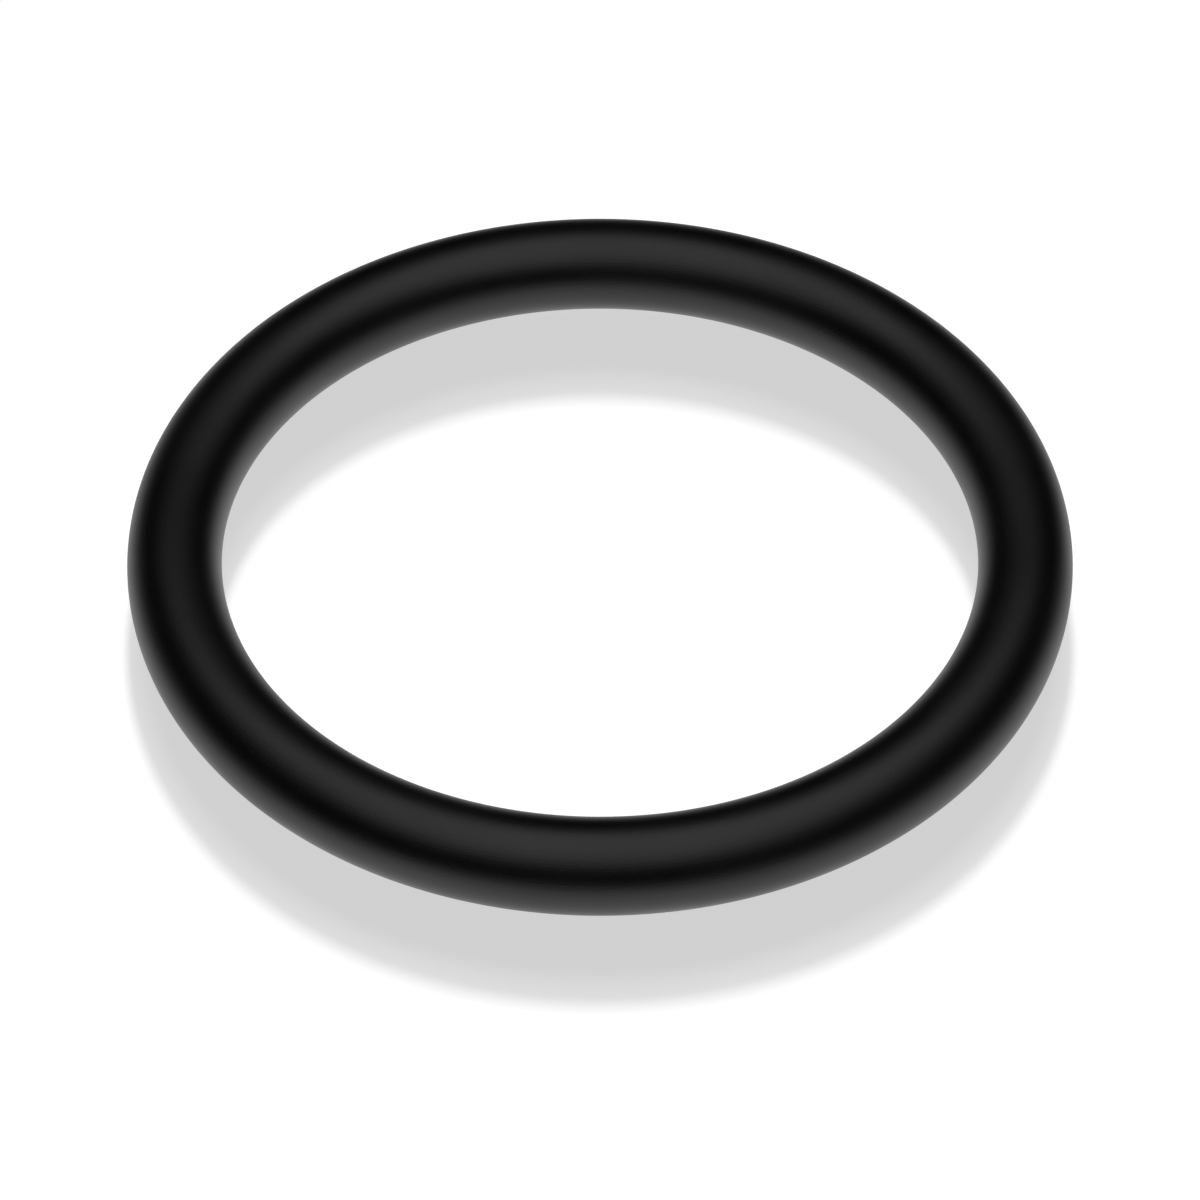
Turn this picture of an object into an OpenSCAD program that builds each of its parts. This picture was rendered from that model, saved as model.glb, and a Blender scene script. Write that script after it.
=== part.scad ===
// Rubber o-ring: one endless ring of round section, moulded in one piece.
// The size is that of the ring lying free, before a groove stretches or squeezes it.
// The origin is the centre of the ring and +Z runs along its axis, so the ring lies flat
// and touches its bench along a circle half a section below the origin.

/* [Seal size] */
// Inside diameter of the free ring, which a rod or a groove floor stretches slightly
inner_d = 28.17; // [6:0.01:120]
// Diameter of the round rubber section, which the groove squeezes
section_d = 3.53; // [1:0.01:7]

/* [Hidden] */
// Radius of the circle that the middle of the section follows round the axis
centreline_r = (inner_d + section_d) / 2;
// Black rubber
rubber_black = [0.05, 0.05, 0.05];
// Steps round the section and round the ring wherever the curves are drawn as a mesh
$fn = 144;

// Round section of the cord, standing in a plane through the ring's axis
module cord_section() {
    translate([centreline_r, 0])
        circle(d = section_d);
}

// The whole seal: the section carried once round the axis, with no join
module o_ring() {
    color(rubber_black)
        rotate_extrude(angle = 360)
            cord_section();
}

o_ring();
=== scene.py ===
"""Looks of a black rubber o-ring that lies on a white studio table.

The ring is one endless torus of round section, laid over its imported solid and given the
satin skin of moulded rubber. A light tent, a key lamp behind the ring and a white table
light it, and the camera looks down on it at about 45 degrees.
"""

import logging
import math
from collections.abc import Mapping
from dataclasses import dataclass
from enum import Enum

import bpy
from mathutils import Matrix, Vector


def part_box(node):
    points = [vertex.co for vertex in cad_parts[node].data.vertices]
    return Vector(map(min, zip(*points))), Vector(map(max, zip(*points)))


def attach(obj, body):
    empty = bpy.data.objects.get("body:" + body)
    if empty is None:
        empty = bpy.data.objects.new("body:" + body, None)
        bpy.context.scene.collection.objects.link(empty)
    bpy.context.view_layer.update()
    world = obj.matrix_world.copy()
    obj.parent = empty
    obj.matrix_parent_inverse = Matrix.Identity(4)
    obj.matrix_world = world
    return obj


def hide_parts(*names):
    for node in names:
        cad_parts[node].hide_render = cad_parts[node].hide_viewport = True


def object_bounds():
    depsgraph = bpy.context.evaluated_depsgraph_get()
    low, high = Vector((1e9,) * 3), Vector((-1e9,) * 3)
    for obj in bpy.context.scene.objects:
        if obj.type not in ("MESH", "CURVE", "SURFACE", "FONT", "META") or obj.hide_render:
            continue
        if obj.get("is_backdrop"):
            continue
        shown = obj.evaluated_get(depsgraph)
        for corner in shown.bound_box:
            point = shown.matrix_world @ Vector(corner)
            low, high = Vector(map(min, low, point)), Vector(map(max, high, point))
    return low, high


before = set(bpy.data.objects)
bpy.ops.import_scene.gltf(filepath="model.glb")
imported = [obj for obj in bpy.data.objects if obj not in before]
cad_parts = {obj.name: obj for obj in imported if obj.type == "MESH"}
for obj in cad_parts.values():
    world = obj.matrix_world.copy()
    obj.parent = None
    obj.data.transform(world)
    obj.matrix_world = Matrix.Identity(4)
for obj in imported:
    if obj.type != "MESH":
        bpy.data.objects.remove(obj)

LOG = logging.getLogger("o_ring")
RING_NODE = "o_ring"
BODY = "root"
WHITE = (1.0, 1.0, 1.0, 1.0)
FULL_TURN = 2.0 * math.pi
REVERSED = -1.0

# The lowest and the highest corner of a box
Corners = tuple[Vector, Vector]
# What an input takes: another node's output, or a value of its own
SocketFeed = bpy.types.NodeSocket | float | tuple[float, ...]


class Ray(Enum):
    """The kinds of light ray that a material can tell apart."""

    CAMERA = "Is Camera Ray"
    MIRRORED = "Is Glossy Ray"
    THROUGH_GLASS = "Is Transmission Ray"


class NodeBoard:
    """Places and wires the nodes of one material, world or node group."""

    def __init__(self, tree: bpy.types.NodeTree) -> None:
        """Clears the board, so that only what is placed here is on it.

        Args:
            tree: the node tree of a material, a world or a node group.
        """
        self.tree = tree
        tree.nodes.clear()

    def place(
        self,
        kind: str,
        feeds: Mapping[str | int, SocketFeed] | None = None,
        **settings: str | bool,
    ) -> bpy.types.Node:
        """Adds one node.

        Args:
            kind: the node's type, as Blender names it.
            feeds: an input's name or number, and the value or the output that feeds it.
            settings: the node's own choices, such as its operation.

        Returns:
            The new node.
        """
        node = self.tree.nodes.new(kind)
        for choice, value in settings.items():
            setattr(node, choice, value)
        for name, feed in (feeds or {}).items():
            self.feed(node.inputs[name], feed)
        return node

    def feed(self, socket: bpy.types.NodeSocket, feed: SocketFeed) -> None:
        """Wires an output into a socket, or sets the socket's own value.

        Args:
            socket: the input.
            feed: the output that feeds it, or its value.
        """
        if isinstance(feed, bpy.types.NodeSocket):
            self.tree.links.new(feed, socket)
        else:
            socket.default_value = feed

    def sum(self, operation: str, *terms: SocketFeed) -> bpy.types.NodeSocket:
        """Adds a Math node and returns its result."""
        feeds = dict(enumerate(terms))
        return self.place("ShaderNodeMath", feeds, operation=operation).outputs[0]

    def vector(self, operation: str, *terms: SocketFeed) -> bpy.types.Node:
        """Adds a Vector Math node."""
        feeds = dict(enumerate(terms))
        return self.place("ShaderNodeVectorMath", feeds, operation=operation)

    def between(
        self, value: SocketFeed, low: float, high: float, at_low: float, at_high: float
    ) -> bpy.types.NodeSocket:
        """Runs smoothly from at_low to at_high as value goes from low to high.

        Args:
            value: what decides the result.
            low: where the change starts.
            high: where the change ends.
            at_low: the result at and before the start.
            at_high: the result at and after the end.

        Returns:
            The output that holds the result.
        """
        feeds = {0: value, 1: low, 2: high, 3: at_low, 4: at_high}
        node = self.place("ShaderNodeMapRange", feeds, interpolation_type="SMOOTHSTEP")
        return node.outputs[0]

    def is_one_of(self, *rays: Ray) -> bpy.types.NodeSocket:
        """Tells light rays of some kinds from all others.

        Args:
            rays: the kinds to look for.

        Returns:
            The output that is 1 for a ray of one of these kinds, and 0 for any other.
        """
        path = self.place("ShaderNodeLightPath")
        found = path.outputs[rays[0].value]
        for ray in rays[1:]:
            found = self.sum("MAXIMUM", found, path.outputs[ray.value])
        return found


@dataclass(frozen=True)
class NoiseScale:
    """How fine a noise is: its cells in a metre across and along the ring, and its layers."""

    across: float
    along: float
    detail: float


class RingNoise:
    """Noise that follows the ring without a seam, as fine across it and along it as asked.

    It is one node group, built at its first use. Its inputs are the ring's centreline
    radius, the number of noise cells in a metre across and along the ring, and how many
    finer layers lie on the first. Its output runs from 0 to 1.
    """

    NAME = "ring_noise"
    INPUTS = ("Centreline Radius", "Cells Across", "Cells Along", "Detail")
    OUTPUT = "Value"
    FLATTENED = (1.0, 1.0, 0.0)
    ONE_CELL = 1.0

    @classmethod
    def group(cls) -> bpy.types.NodeTree:
        """Gives the node group, and builds it the first time."""
        return bpy.data.node_groups.get(cls.NAME) or cls._build()

    @classmethod
    def _build(cls) -> bpy.types.NodeTree:
        """Builds the node group.

        Returns:
            The node group.
        """
        tree = bpy.data.node_groups.new(cls.NAME, "ShaderNodeTree")
        for name in cls.INPUTS:
            tree.interface.new_socket(name, in_out="INPUT", socket_type="NodeSocketFloat")
        tree.interface.new_socket(cls.OUTPUT, in_out="OUTPUT", socket_type="NodeSocketFloat")
        board = NodeBoard(tree)
        given = board.place("NodeGroupInput").outputs
        radius, across, along, detail = (given[name] for name in cls.INPUTS)
        place = board.place("ShaderNodeTexCoord").outputs["Object"]
        level = board.vector("MULTIPLY", place, cls.FLATTENED).outputs[0]
        reach = board.vector("LENGTH", level).outputs["Value"]
        outward = board.vector("NORMALIZE", level).outputs[0]
        height = board.place("ShaderNodeSeparateXYZ", {0: place}).outputs["Z"]
        from_middle = board.sum("SUBTRACT", reach, radius)
        turns = board.sum("MULTIPLY", radius, along)
        around = board.place("ShaderNodeSeparateXYZ", {0: outward}).outputs
        # The place is counted in noise cells. Two of its four axes go round the ring,
        # so the noise meets itself after a full turn.
        where = board.place(
            "ShaderNodeCombineXYZ",
            {
                "X": board.sum("MULTIPLY", from_middle, across),
                "Y": board.sum("MULTIPLY", height, across),
                "Z": board.sum("MULTIPLY", around["X"], turns),
            },
        ).outputs[0]
        noise = board.place(
            "ShaderNodeTexNoise",
            {
                "Vector": where,
                "W": board.sum("MULTIPLY", around["Y"], turns),
                "Scale": cls.ONE_CELL,
                "Detail": detail,
            },
            noise_dimensions="4D",
        )
        board.place("NodeGroupOutput", {0: noise.outputs[0]})
        return tree

    @classmethod
    def use(cls, board: NodeBoard, radius: float, scale: NoiseScale) -> bpy.types.NodeSocket:
        """Places the group on a board.

        Args:
            board: the material's board.
            radius: the ring's centreline radius, in metres.
            scale: how fine the noise is.

        Returns:
            The output that holds the noise.
        """
        node = board.place("ShaderNodeGroup")
        node.node_tree = cls.group()
        values = (radius, scale.across, scale.along, scale.detail)
        for name, value in zip(cls.INPUTS, values):
            board.feed(node.inputs[name], value)
        return node.outputs[cls.OUTPUT]


@dataclass(frozen=True)
class Relief:
    """One layer of a skin's relief: how fine it is, and its height in metres."""

    scale: NoiseScale
    height: float


@dataclass(frozen=True)
class MouldedRubber:
    """The satin black skin that a polished, lathe-turned mould leaves on rubber.

    The rubber is polished nearly everywhere. In faint patches, where the noise called
    patches runs from the first of patch_edges to the second, it is hazier, and carries
    a trace of bloom. Roughness is the shader's own scale.
    """

    name: str = "moulded_black_rubber"
    carbon_black: float = 0.0001
    faint_bloom: float = 0.0005
    refractive_index: float = 1.6
    polished: float = 0.37
    hazy: float = 0.42
    patches: NoiseScale = NoiseScale(across=420.0, along=260.0, detail=3.0)
    patch_edges: tuple[float, float] = (0.3, 0.7)
    waviness: Relief = Relief(NoiseScale(across=260.0, along=130.0, detail=1.0), height=8.0e-6)
    turning: Relief = Relief(NoiseScale(across=14000.0, along=260.0, detail=2.0), height=2.5e-6)
    grain: Relief = Relief(NoiseScale(across=20000.0, along=20000.0, detail=2.0), height=5.0e-6)

    def material(self, radius: float) -> bpy.types.Material:
        """Builds the material.

        Args:
            radius: the ring's centreline radius, in metres.

        Returns:
            The finished material.
        """
        made = bpy.data.materials.new(self.name)
        made.use_nodes = True
        board = NodeBoard(made.node_tree)
        cloud = RingNoise.use(board, radius, self.patches)
        shader = board.place(
            "ShaderNodeBsdfPrincipled",
            {
                "Base Color": board.between(
                    cloud, *self.patch_edges, self.carbon_black, self.faint_bloom
                ),
                "Roughness": board.between(cloud, *self.patch_edges, self.polished, self.hazy),
                "IOR": self.refractive_index,
                "Normal": self._relief(board, radius),
            },
        )
        board.place("ShaderNodeOutputMaterial", {"Surface": shader.outputs[0]})
        return made

    def _relief(self, board: NodeBoard, radius: float) -> bpy.types.NodeSocket:
        """Lays the mould's grain over its turning marks and a slight waviness.

        Args:
            board: the material's board.
            radius: the ring's centreline radius, in metres.

        Returns:
            The normal of the finished skin.
        """
        normal = None
        for layer in (self.waviness, self.turning, self.grain):
            noise = RingNoise.use(board, radius, layer.scale)
            bump = board.place("ShaderNodeBump", {"Height": noise, "Distance": layer.height})
            if normal is not None:
                board.feed(bump.inputs["Normal"], normal)
            normal = bump.outputs["Normal"]
        return normal


@dataclass(frozen=True)
class SealRing:
    """The o-ring: a round section carried once round the axis, in metres."""

    section_radius: float
    centreline_radius: float
    steps_round: int = 480
    steps_section: int = 96
    map_rows: int = 3
    map_margin: float = 0.004
    name: str = "moulded_o_ring"

    @classmethod
    def of_solid(cls, corners: Corners) -> "SealRing":
        """Takes the ring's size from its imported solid.

        Args:
            corners: the solid's lowest and highest corners.

        Returns:
            The ring.
        """
        low, high = corners
        section = (high.z - low.z) / 2.0
        return cls(section, (high.x - low.x) / 2.0 - section)

    def build(self) -> bpy.types.Object:
        """Builds the ring as one closed mesh of quads.

        Returns:
            The ring, with a texture map and smooth faces.
        """
        mesh = bpy.data.meshes.new(self.name)
        mesh.from_pydata(self._points(), [], self._faces())
        mesh.shade_smooth()
        self._lay_map(mesh)
        ring = bpy.data.objects.new(self.name, mesh)
        bpy.context.scene.collection.objects.link(ring)
        return ring

    def _points(self) -> list[tuple[float, float, float]]:
        """Works out the points.

        Returns:
            The points, one round of the section after another.
        """
        points = []
        for i in range(self.steps_round):
            turn = FULL_TURN * i / self.steps_round
            for j in range(self.steps_section):
                # The section starts at the inner edge, where the map is cut.
                roll = math.pi + FULL_TURN * j / self.steps_section
                reach = self.centreline_radius + self.section_radius * math.cos(roll)
                rise = self.section_radius * math.sin(roll)
                points.append((reach * math.cos(turn), reach * math.sin(turn), rise))
        return points

    def _faces(self) -> list[tuple[int, int, int, int]]:
        """Joins each round of the section to the next.

        Returns:
            The quads, each as the numbers of its four points.
        """
        across = self.steps_section
        faces = []
        for i in range(self.steps_round):
            here = i * across
            there = (i + 1) % self.steps_round * across
            for j in range(across):
                k = (j + 1) % across
                faces.append((here + j, there + j, there + k, here + k))
        return faces

    def _lay_map(self, mesh: bpy.types.Mesh) -> None:
        """Lays the skin out flat as equal arcs, one under the other, which fill a square.

        Args:
            mesh: the ring's mesh, with its faces in the order in which they were made.
        """
        places = mesh.uv_layers.new(name="OFBake").data
        steps_in_row = self.steps_round // self.map_rows
        inside = 1.0 - 2.0 * self.map_margin
        row_height = 1.0 / self.map_rows
        corner_steps = ((0, 0), (1, 0), (1, 1), (0, 1))
        for face in range(len(mesh.polygons)):
            i, j = divmod(face, self.steps_section)
            row, step = divmod(i, steps_in_row)
            for corner, (along, across) in zip(mesh.polygons[face].loop_indices, corner_steps):
                u = (step + along) / steps_in_row
                v = (j + across) / self.steps_section
                places[corner].uv = (
                    self.map_margin + inside * u,
                    (row + self.map_margin + inside * v) * row_height,
                )

    def dress(self, ring: bpy.types.Object, finish: MouldedRubber) -> None:
        """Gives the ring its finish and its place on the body.

        Args:
            ring: the ring that was built.
            finish: the rubber's finish.
        """
        ring.data.materials.append(finish.material(self.centreline_radius))
        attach(ring, BODY)
        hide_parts(RING_NODE)


@dataclass(frozen=True)
class WhiteTable:
    """The white table, which keeps the ring's soft shadow and fades to plain white.

    The front of the ring rests on it: height is its level there and touch is how far
    that is in front of the middle, both in metres. It falls away very slightly from front
    to back. The lamps give a part of its white and the rest is its own glow, so that its
    shadow stays light. The rubber mirrors it as white where it looks down on it, and less
    and less where it looks along it. A slant is 0 when looking straight down and 1 when
    looking along the table.
    """

    height: float
    touch: float
    slope: float = 0.0107
    half_width: float = 4.0
    card_white: float = 0.8
    lit_white: float = 0.51
    glow: float = 0.614
    plain_white: float = 1.0
    plain_from: float = 0.028
    plain_to: float = 0.045
    mirrored_white: float = 0.89
    white_slant: float = 0.479
    lost_slant: float = 1.079
    even_blend: float = 0.5

    def build(self) -> bpy.types.Object:
        """Builds the table top under the ring.

        Returns:
            The table top.
        """
        w = self.half_width
        mesh = bpy.data.meshes.new("white_table")
        near = self.height - self.slope * (self.touch - w)
        far = self.height - self.slope * (self.touch + w)
        corners = [(-w, -w, near), (w, -w, near), (w, w, far), (-w, w, far)]
        mesh.from_pydata(corners, [], [(0, 1, 2, 3)])
        mesh.materials.append(self._material())
        table = bpy.data.objects.new("white_table", mesh)
        bpy.context.scene.collection.objects.link(table)
        table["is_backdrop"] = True
        return table

    def _material(self) -> bpy.types.Material:
        """Builds the card that covers the table.

        Returns:
            The material: white where it is seen, and plain card for other light.
        """
        made = bpy.data.materials.new("white_card")
        made.use_nodes = True
        board = NodeBoard(made.node_tree)
        plain_card = self._card(board, self.card_white)
        is_mirrored = board.is_one_of(Ray.MIRRORED)
        white = self._mix(board, is_mirrored, self._seen(board), self._mirrored(board))
        is_shown = board.is_one_of(Ray.CAMERA, Ray.MIRRORED, Ray.THROUGH_GLASS)
        above = self._mix(board, is_shown, plain_card, white)
        below = board.place("ShaderNodeBsdfTransparent").outputs[0]
        is_behind = board.place("ShaderNodeNewGeometry").outputs["Backfacing"]
        surface = self._mix(board, is_behind, above, below)
        board.place("ShaderNodeOutputMaterial", {"Surface": surface})
        return made

    def _seen(self, board: NodeBoard) -> bpy.types.NodeSocket:
        """Makes the card as it is seen: with the shadow near the ring, and white away from it.

        Args:
            board: the material's board.

        Returns:
            The shader.
        """
        feeds = {0: self._card(board, self.lit_white), 1: self._light(board, self.glow)}
        shaded = board.place("ShaderNodeAddShader", feeds).outputs[0]
        place = board.place("ShaderNodeTexCoord").outputs["Object"]
        away = board.vector("LENGTH", place).outputs["Value"]
        fade = board.between(away, self.plain_from, self.plain_to, 0.0, 1.0)
        return self._mix(board, fade, shaded, self._light(board, self.plain_white))

    def _mirrored(self, board: NodeBoard) -> bpy.types.NodeSocket:
        """Makes the card as the rubber mirrors it.

        Args:
            board: the material's board.

        Returns:
            The shader.
        """
        slant = board.place("ShaderNodeLayerWeight", {"Blend": self.even_blend}).outputs["Facing"]
        white = board.between(slant, self.white_slant, self.lost_slant, self.mirrored_white, 0.0)
        return self._light(board, white)

    @staticmethod
    def _card(board: NodeBoard, whiteness: float) -> bpy.types.NodeSocket:
        """Matt card that sends back this share of the light."""
        grey = (whiteness, whiteness, whiteness, 1.0)
        return board.place("ShaderNodeBsdfDiffuse", {"Color": grey}).outputs[0]

    @staticmethod
    def _light(board: NodeBoard, strength: SocketFeed) -> bpy.types.NodeSocket:
        """Plain white light of this strength, where 1 is white."""
        feeds = {"Color": WHITE, "Strength": strength}
        return board.place("ShaderNodeEmission", feeds).outputs[0]

    @staticmethod
    def _mix(
        board: NodeBoard, share: SocketFeed, first: SocketFeed, second: SocketFeed
    ) -> bpy.types.NodeSocket:
        """Goes from the first shader to the second as share goes from 0 to 1."""
        return board.place("ShaderNodeMixShader", {0: share, 1: first, 2: second}).outputs[0]


@dataclass(frozen=True)
class LightTent:
    """The box tent over the table: dark walls under a roof with one soft glowing panel.

    Only the rubber's reflections see it. Each edge of the panel fades from full light to
    none between two distances from the middle of the panel, in metres.
    """

    roof_height: float = 0.1384
    half_width: float = 0.4
    middle_behind: float = 0.0292
    panel_light: float = 0.76
    side_fade: tuple[float, float] = (0.042, 0.1658)
    near_fade: tuple[float, float] = (0.063, 0.2554)
    far_fade: tuple[float, float] = (0.0313, 0.1038)

    def build(self) -> bpy.types.Object:
        """Builds the tent over the table.

        Returns:
            The tent.
        """
        w = self.half_width
        plan = ((-w, -w), (w, -w), (w, w), (-w, w))
        points = [(x, y, z) for z in (-self.roof_height, self.roof_height) for x, y in plan]
        faces = [(4, 5, 6, 7), (0, 1, 5, 4), (1, 2, 6, 5), (2, 3, 7, 6), (3, 0, 4, 7)]
        mesh = bpy.data.meshes.new("light_tent")
        mesh.from_pydata(points, [], faces)
        mesh.materials.append(self._material())
        tent = bpy.data.objects.new("light_tent", mesh)
        bpy.context.scene.collection.objects.link(tent)
        tent.location.y = self.middle_behind
        tent.visible_camera = False
        tent.visible_diffuse = False
        tent.visible_shadow = False
        tent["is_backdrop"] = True
        return tent

    def _material(self) -> bpy.types.Material:
        """Builds the tent's cloth.

        Returns:
            The material, which glows over the panel and is dark elsewhere.
        """
        made = bpy.data.materials.new("tent_cloth")
        made.use_nodes = True
        board = NodeBoard(made.node_tree)
        place = board.place("ShaderNodeTexCoord").outputs["Object"]
        where = board.place("ShaderNodeSeparateXYZ", {0: place}).outputs
        sideways = board.sum("ABSOLUTE", where["X"])
        towards_us = board.sum("MULTIPLY", where["Y"], REVERSED)
        strength = board.between(sideways, *self.side_fade, self.panel_light, 0.0)
        for away, fade in ((towards_us, self.near_fade), (where["Y"], self.far_fade)):
            strength = board.sum("MULTIPLY", strength, board.between(away, *fade, 1.0, 0.0))
        cloth = board.place("ShaderNodeEmission", {"Color": WHITE, "Strength": strength})
        board.place("ShaderNodeOutputMaterial", {"Surface": cloth.outputs[0]})
        return made


@dataclass(frozen=True)
class KeyLamp:
    """The lamp behind the ring, which throws its shadow towards the camera.

    It is a small bright core in a wide halo, so the shadow's edge starts softly.
    """

    above_table_deg: float = 37.5
    light_on_table: float = 0.85
    core_deg: float = 7.1
    halo_deg: float = 37.0
    halo_share: float = 0.41

    def build(self) -> list[bpy.types.Object]:
        """Hangs the lamp.

        Returns:
            Its core and its halo, which the rubber doesn't mirror.
        """
        core = self._disc("key_core", self.core_deg, 1.0 - self.halo_share)
        halo = self._disc("key_halo", self.halo_deg, self.halo_share)
        return [core, halo]

    def _disc(self, name: str, apparent_size_deg: float, share: float) -> bpy.types.Object:
        """Makes one evenly bright disc of the lamp.

        Args:
            name: the disc's name.
            apparent_size_deg: how wide the disc looks from the ring.
            share: the disc's share of the light on the table.

        Returns:
            The disc.
        """
        rise = math.radians(self.above_table_deg)
        data = bpy.data.lights.new(name, "SUN")
        # White card that faces a sun lamp shows its strength over pi. The table lies flat,
        # so it shows that times the sine of the lamp's height.
        data.energy = share * self.light_on_table * math.pi / math.sin(rise)
        data.angle = math.radians(apparent_size_deg)
        disc = bpy.data.objects.new(name, data)
        towards_lamp = Vector((0.0, math.cos(rise), math.sin(rise)))
        disc.location = towards_lamp
        disc.rotation_euler = (-towards_lamp).to_track_quat("-Z", "Y").to_euler()
        disc.visible_glossy = False
        bpy.context.scene.collection.objects.link(disc)
        return disc


@dataclass(frozen=True)
class StudioAir:
    """What lies beyond the table: white where it is seen, a weak fill for other light."""

    white: float = 1.0
    fill: float = 0.06

    def build(self) -> bpy.types.World:
        """Builds the world.

        Returns:
            The world.
        """
        world = bpy.data.worlds.new("studio_air")
        world.use_nodes = True
        board = NodeBoard(world.node_tree)
        is_shown = board.is_one_of(Ray.CAMERA, Ray.MIRRORED, Ray.THROUGH_GLASS)
        fill = board.place("ShaderNodeBackground", {"Color": WHITE, "Strength": self.fill})
        white = board.place("ShaderNodeBackground", {"Color": WHITE, "Strength": self.white})
        feeds = {0: is_shown, 1: fill.outputs[0], 2: white.outputs[0]}
        mixed = board.place("ShaderNodeMixShader", feeds)
        board.place("ShaderNodeOutputWorld", {"Surface": mixed.outputs[0]})
        bpy.context.scene.world = world
        return world


@dataclass(frozen=True)
class PhotoCamera:
    """The camera where the photograph was taken from.

    Its distance, and how far in front of the ring's middle it aims, are counted in
    centreline radii of the ring. The nearest and the farthest that it sees are in metres.
    """

    ring_radius: float
    elevation_deg: float = 45.471
    distance: float = 14.2
    aim_in_front: float = 0.1643
    focal_pixels: float = 6083.2
    image_pixels: float = 1200.0
    sensor_mm: float = 36.0
    nearest: float = 0.01
    farthest: float = 20.0

    def build(self) -> bpy.types.Object:
        """Sets the camera up and makes it the scene's own.

        Returns:
            The camera.
        """
        data = bpy.data.cameras.new("photo_camera")
        data.sensor_width = self.sensor_mm
        data.lens = self.sensor_mm * self.focal_pixels / self.image_pixels
        data.clip_start = self.nearest
        data.clip_end = self.farthest
        camera = bpy.data.objects.new("photo_camera", data)
        rise = math.radians(self.elevation_deg)
        back = Vector((0.0, -math.cos(rise), math.sin(rise)))
        aim = Vector((0.0, -self.aim_in_front * self.ring_radius, 0.0))
        camera.location = aim + back * (self.distance * self.ring_radius)
        camera.rotation_euler = (-back).to_track_quat("-Z", "Y").to_euler()
        bpy.context.scene.collection.objects.link(camera)
        bpy.context.scene.camera = camera
        return camera


def main() -> None:
    """Builds the ring and the studio round it, and logs the ring's number of faces."""
    logging.basicConfig(level=logging.INFO, format="%(message)s")
    solid_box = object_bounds()
    bpy.context.scene.view_settings.view_transform = "Standard"

    seal = SealRing.of_solid(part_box(RING_NODE))
    PhotoCamera(seal.centreline_radius).build()
    ring = seal.build()
    seal.dress(ring, MouldedRubber())
    LOG.info("%s: %d faces", ring.name, len(ring.data.polygons))

    table = WhiteTable(solid_box[0].z, seal.centreline_radius).build()
    tent = LightTent().build()
    lamps = KeyLamp().build()
    StudioAir().build()
    for piece in (table, tent, *lamps):
        LOG.info("%s: in place", piece.name)


if __name__ == "__main__":
    main()
